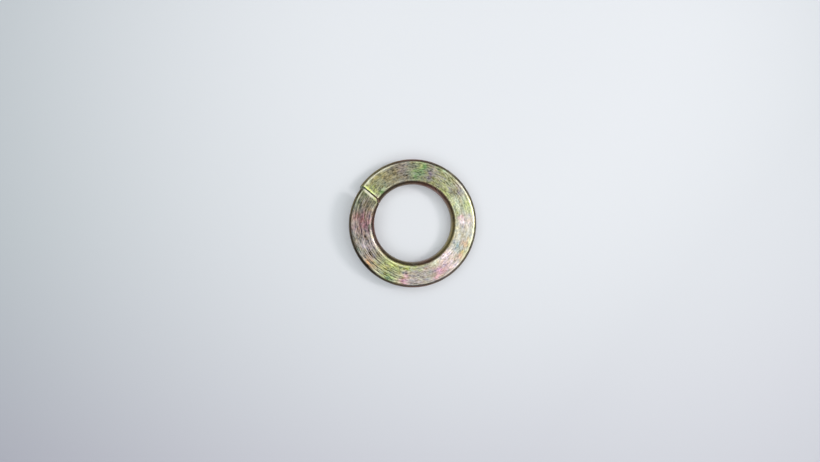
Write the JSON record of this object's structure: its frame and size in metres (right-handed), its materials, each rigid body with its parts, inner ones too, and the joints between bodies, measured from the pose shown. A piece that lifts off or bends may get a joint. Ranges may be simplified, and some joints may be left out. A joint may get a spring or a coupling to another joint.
{
  "type": "spring lock washer",
  "caption": "Split spring lock washer of coiled keystone wire with rounded edges; its offset sheared ends press and bite between a bolt head and the joint.",
  "frame": {"origin": "on the bore axis, level with the lowest edge of the low end", "axes": "+Z along the bore axis towards the bolt head, -Y through the slit, low end on the -X side of it and raised end on the +X side"},
  "size_m": [0.0204, 0.0204, 0.0043],
  "materials": {
    "lock_washer": "satin"
  },
  "bodies": {
    "root": {"lock_washer": "lock_washer"}
  },
  "joints": []
}
